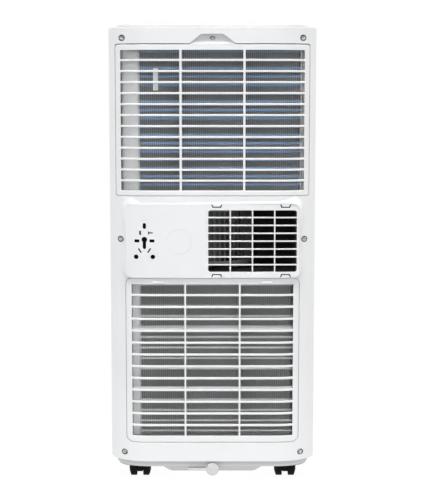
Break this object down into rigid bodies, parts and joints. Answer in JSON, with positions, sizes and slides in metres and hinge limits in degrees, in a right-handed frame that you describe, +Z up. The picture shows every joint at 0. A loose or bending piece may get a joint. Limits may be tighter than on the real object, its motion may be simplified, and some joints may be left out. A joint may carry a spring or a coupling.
{
  "type": "portable air conditioner",
  "caption": "Tall white mobile air conditioner on casters: slatted intake grilles, hot-air outlet and plug parking at the back, cold-air louvres, touch controls and side grips.",
  "frame": {"origin": "on the floor, under the middle of the cabinet", "axes": "+Z up; the back with the grilles faces -Y and the cold-air outlet faces +Y; +X is to the right of someone who looks at the back"},
  "size_m": [0.3116, 0.3, 0.69],
  "materials": {
    "shell_white": "fine satin moulding, white",
    "inner_white": "white inner mouldings",
    "base_white": "satin off-white",
    "filter_white": "white filter frame with grey mesh",
    "panel_dark": "smooth dark grey",
    "display": "smoked window",
    "blower_dark": "dark grey moulding",
    "caster_black": "black nylon",
    "gland_black": "black bush",
    "drain_white": "soft white rubber",
    "screw_steel": "zinc-plated",
    "motor_steel": "galvanised can",
    "cold_fins": "blue coated fins and tube collars",
    "hot_fins": "plain fins",
    "copper_pipe": "copper tube",
    "compressor_black": "black enamel",
    "board_green": "circuit board"
  },
  "bodies": {
    "cabinet": {"base_tray": "base_white", "front_shell": "shell_white", "rear_panel": "shell_white", "top_cover": "shell_white", "control_panel": "panel_dark", "display_window": "display", "right_grip": "shell_white", "left_grip": "shell_white", "port_blank": "shell_white", "screw_top_left": "screw_steel", "screw_top_right": "screw_steel", "screw_top_centre": "screw_steel", "screw_middle_left": "screw_steel", "screw_middle_right": "screw_steel", "screw_bottom_left": "screw_steel", "screw_bottom_right": "screw_steel", "drip_tray": "inner_white", "evaporator": "cold_fins", "evaporator_cover": "inner_white", "condenser": "hot_fins", "condenser_cover": "inner_white", "sensor_clip": "inner_white", "exhaust_scroll": "blower_dark", "exhaust_motor": "motor_steel", "cold_scroll": "blower_dark", "cold_motor": "motor_steel", "outlet_duct": "inner_white", "louvre_motor": "motor_steel", "compressor": "compressor_black", "suction_line": "copper_pipe", "discharge_line": "copper_pipe", "liquid_line": "copper_pipe", "control_box": "inner_white", "main_board": "board_green", "capacitor": "inner_white", "cord_gland": "gland_black"},
    "upper_grille": {"upper_grille": "shell_white", "upper_filter": "filter_white"},
    "lower_grille": {"lower_grille": "shell_white", "lower_filter": "filter_white"},
    "exhaust_wheel": {"exhaust_wheel": "blower_dark"},
    "cold_wheel": {"cold_wheel": "blower_dark"},
    "louvre_upper": {"louvre_upper": "shell_white"},
    "louvre_middle": {"louvre_middle": "shell_white"},
    "louvre_lower": {"louvre_lower": "shell_white"},
    "louvre_link": {"louvre_link": "caster_black"},
    "drain_plug": {"drain_plug": "drain_white"},
    "timer_button": {"timer_button": "panel_dark"},
    "fan_button": {"fan_button": "panel_dark"},
    "down_button": {"down_button": "panel_dark"},
    "up_button": {"up_button": "panel_dark"},
    "power_button": {"power_button": "panel_dark"},
    "caster_fork_rear_left": {"caster_fork_rear_left": "caster_black"},
    "caster_wheels_rear_left": {"caster_wheels_rear_left": "caster_black"},
    "caster_fork_rear_right": {"caster_fork_rear_right": "caster_black"},
    "caster_wheels_rear_right": {"caster_wheels_rear_right": "caster_black"},
    "caster_fork_front_left": {"caster_fork_front_left": "caster_black"},
    "caster_wheels_front_left": {"caster_wheels_front_left": "caster_black"},
    "caster_fork_front_right": {"caster_fork_front_right": "caster_black"},
    "caster_wheels_front_right": {"caster_wheels_front_right": "caster_black"}
  },
  "joints": [
    {"name": "upper_grille_tilt", "type": "hinge", "parent": "cabinet", "child": "upper_grille", "pos_m": [0, -0.146, 0.4372], "axis": [1, 0, 0], "range_deg": [0, 45]},
    {"name": "lower_grille_tilt", "type": "hinge", "parent": "cabinet", "child": "lower_grille", "pos_m": [0, -0.146, 0.0624], "axis": [1, 0, 0], "range_deg": [0, 45]},
    {"name": "exhaust_wheel_spin", "type": "hinge", "parent": "cabinet", "child": "exhaust_wheel", "pos_m": [0, -0.062, 0.37], "axis": [0, 0, 1], "continuous": true},
    {"name": "cold_wheel_spin", "type": "hinge", "parent": "cabinet", "child": "cold_wheel", "pos_m": [0.052, 0, 0.534], "axis": [0, 1, 0], "continuous": true},
    {"name": "louvre_middle_tilt", "type": "hinge", "parent": "cabinet", "child": "louvre_middle", "pos_m": [0, 0.133, 0.615], "axis": [-1, 0, 0], "range_deg": [0, 65]},
    {"name": "louvre_upper_tilt", "type": "hinge", "parent": "cabinet", "child": "louvre_upper", "pos_m": [0, 0.133, 0.6417], "axis": [-1, 0, 0], "range_deg": [0, 65]},
    {"name": "louvre_lower_tilt", "type": "hinge", "parent": "cabinet", "child": "louvre_lower", "pos_m": [0, 0.133, 0.5883], "axis": [-1, 0, 0], "range_deg": [0, 65]},
    {"name": "louvre_link_swing", "type": "hinge", "parent": "louvre_middle", "child": "louvre_link", "pos_m": [-0.101, 0.123, 0.615], "axis": [-1, 0, 0], "range_deg": [-65, 0]},
    {"name": "timer_button_press", "type": "slide", "parent": "cabinet", "child": "timer_button", "axis": [0, 0, -1], "range_m": [0, 0.0008], "stiffness_N_per_m": 300, "springref_m": -0.001},
    {"name": "fan_button_press", "type": "slide", "parent": "cabinet", "child": "fan_button", "axis": [0, 0, -1], "range_m": [0, 0.0008], "stiffness_N_per_m": 300, "springref_m": -0.001},
    {"name": "down_button_press", "type": "slide", "parent": "cabinet", "child": "down_button", "axis": [0, 0, -1], "range_m": [0, 0.0008], "stiffness_N_per_m": 300, "springref_m": -0.001},
    {"name": "up_button_press", "type": "slide", "parent": "cabinet", "child": "up_button", "axis": [0, 0, -1], "range_m": [0, 0.0008], "stiffness_N_per_m": 300, "springref_m": -0.001},
    {"name": "power_button_press", "type": "slide", "parent": "cabinet", "child": "power_button", "axis": [0, 0, -1], "range_m": [0, 0.0008], "stiffness_N_per_m": 300, "springref_m": -0.001},
    {"name": "drain_plug_pull", "type": "slide", "parent": "cabinet", "child": "drain_plug", "axis": [0, -1, 0], "range_m": [0, 0.018]},
    {"name": "caster_rear_left_swivel", "type": "hinge", "parent": "cabinet", "child": "caster_fork_rear_left", "pos_m": [-0.112, -0.098, 0.03], "axis": [0, 0, 1], "continuous": true},
    {"name": "caster_rear_left_roll", "type": "hinge", "parent": "caster_fork_rear_left", "child": "caster_wheels_rear_left", "pos_m": [-0.112, -0.106, 0.015], "axis": [1, 0, 0], "continuous": true},
    {"name": "caster_rear_right_swivel", "type": "hinge", "parent": "cabinet", "child": "caster_fork_rear_right", "pos_m": [0.112, -0.098, 0.03], "axis": [0, 0, 1], "continuous": true},
    {"name": "caster_rear_right_roll", "type": "hinge", "parent": "caster_fork_rear_right", "child": "caster_wheels_rear_right", "pos_m": [0.112, -0.106, 0.015], "axis": [1, 0, 0], "continuous": true},
    {"name": "caster_front_left_swivel", "type": "hinge", "parent": "cabinet", "child": "caster_fork_front_left", "pos_m": [-0.112, 0.098, 0.03], "axis": [0, 0, 1], "continuous": true},
    {"name": "caster_front_left_roll", "type": "hinge", "parent": "caster_fork_front_left", "child": "caster_wheels_front_left", "pos_m": [-0.112, 0.09, 0.015], "axis": [1, 0, 0], "continuous": true},
    {"name": "caster_front_right_swivel", "type": "hinge", "parent": "cabinet", "child": "caster_fork_front_right", "pos_m": [0.112, 0.098, 0.03], "axis": [0, 0, 1], "continuous": true},
    {"name": "caster_front_right_roll", "type": "hinge", "parent": "caster_fork_front_right", "child": "caster_wheels_front_right", "pos_m": [0.112, 0.09, 0.015], "axis": [1, 0, 0], "continuous": true}
  ],
  "couplings": [
    {"joint": "louvre_upper_tilt", "follows": "louvre_middle_tilt", "ratio": 1},
    {"joint": "louvre_lower_tilt", "follows": "louvre_middle_tilt", "ratio": 1},
    {"joint": "louvre_link_swing", "follows": "louvre_middle_tilt", "ratio": -1}
  ]
}
